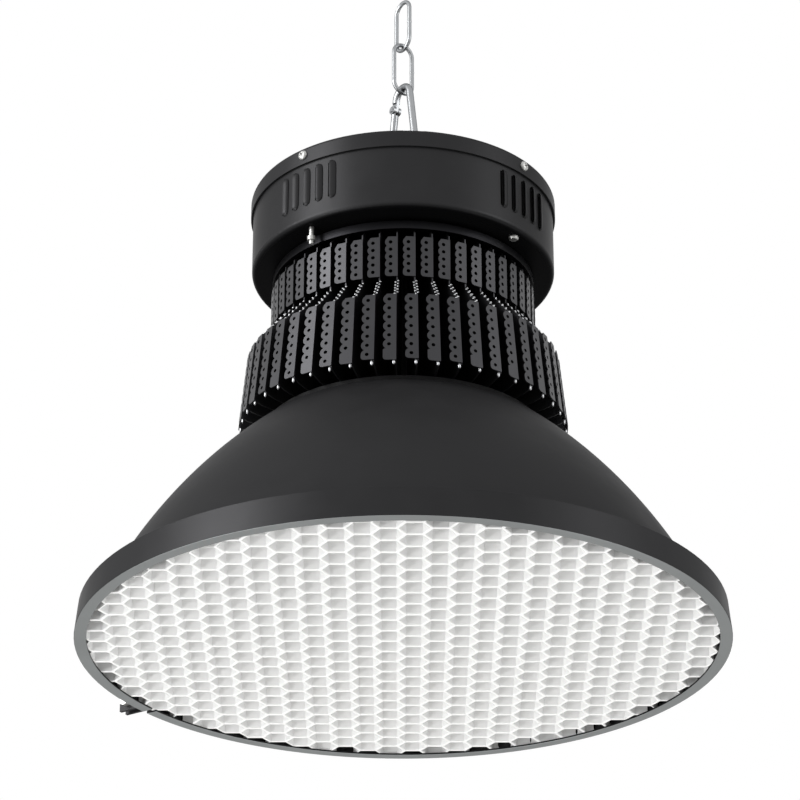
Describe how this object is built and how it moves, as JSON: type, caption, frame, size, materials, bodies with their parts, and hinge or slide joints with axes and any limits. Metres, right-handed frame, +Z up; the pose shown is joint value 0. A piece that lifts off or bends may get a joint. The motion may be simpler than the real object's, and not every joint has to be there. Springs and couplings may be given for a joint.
{
  "type": "high bay light",
  "caption": "Industrial high bay light with a black spun shade, white honeycomb louvre, finned heat sink and round driver housing, hung on chain links by a snap hook.",
  "frame": {"origin": "where the upper chain link rests on its ceiling hook, on the lamp's axis", "axes": "+Z up along the lamp's axis, +X to the right of the vents' front view, -Y towards the front"},
  "size_m": [0.4999, 0.5, 0.5856],
  "materials": {
    "zinc_steel": "bright zinc plate",
    "screw_steel": "nickel plate",
    "black_paint": "satin powder coat",
    "black_anodised": "satin black anodised",
    "shade_black": "satin black outside",
    "tray_aluminium": "plain sheet",
    "white_plastic": "matt moulded",
    "black_plastic": "matt moulded",
    "grey_plastic": "matt moulded",
    "board_white": "white solder mask",
    "phosphor": "silicone over phosphor",
    "lens_glass": "clear toughened",
    "seal_rubber": "matt",
    "gasket_silicone": "matt grey silicone"
  },
  "bodies": {
    "chain_link_upper": {"chain_link_upper": "zinc_steel"},
    "chain_link_lower": {"chain_link_lower": "zinc_steel"},
    "snap_hook": {"snap_hook": "zinc_steel", "gate_rivet": "zinc_steel"},
    "hook_gate": {"hook_gate": "zinc_steel"},
    "lamp": {"eye_bolt": "zinc_steel", "eye_bolt_washer": "zinc_steel", "eye_bolt_nut": "zinc_steel", "driver_lid": "black_paint", "driver_can": "black_paint", "lid_screws": "screw_steel", "driver_tray": "tray_aluminium", "tray_screws": "screw_steel", "earth_stud": "screw_steel", "earth_nut": "screw_steel", "wire_grommet": "seal_rubber", "led_driver": "tray_aluminium", "driver_screws": "screw_steel", "terminal_block": "grey_plastic", "gland_body": "black_plastic", "gland_cap": "black_plastic", "gland_seal": "seal_rubber", "gland_lock_nut": "black_plastic", "can_spacers": "screw_steel", "spacer_screws": "screw_steel", "plate_screws": "screw_steel", "sink_top_plate": "black_anodised", "sink_core": "black_anodised", "cooling_fins": "black_anodised", "led_board": "board_white", "led_arrays": "phosphor", "board_screws": "screw_steel", "reflector_shade": "shade_black", "shade_screws": "screw_steel", "lens_gasket": "gasket_silicone", "glass_lens": "lens_glass", "honeycomb_louvre": "white_plastic", "clamp_hoop": "black_paint", "hoop_screw": "screw_steel", "hoop_nut": "screw_steel"}
  },
  "joints": [
    {"name": "link_swing", "type": "hinge", "parent": "chain_link_upper", "child": "chain_link_lower", "pos_m": [0, 0, -0.04455], "axis": [0.5878, -0.809, 0], "range_deg": [-60, 60]},
    {"name": "hook_swing", "type": "hinge", "parent": "chain_link_lower", "child": "snap_hook", "pos_m": [0, 0, -0.08705], "axis": [0.809, 0.5878, 0], "range_deg": [-60, 60]},
    {"name": "gate_swing", "type": "hinge", "parent": "snap_hook", "child": "hook_gate", "pos_m": [-0.00634, 0.00873, -0.0995], "axis": [-0.809, -0.5878, 0], "range_deg": [0, 35], "stiffness_Nm_per_rad": 0.05, "springref_deg": -34.38},
    {"name": "lamp_swing", "type": "hinge", "parent": "snap_hook", "child": "lamp", "pos_m": [0, 0, -0.1596], "axis": [0.5878, -0.809, 0], "range_deg": [-60, 60]}
  ]
}
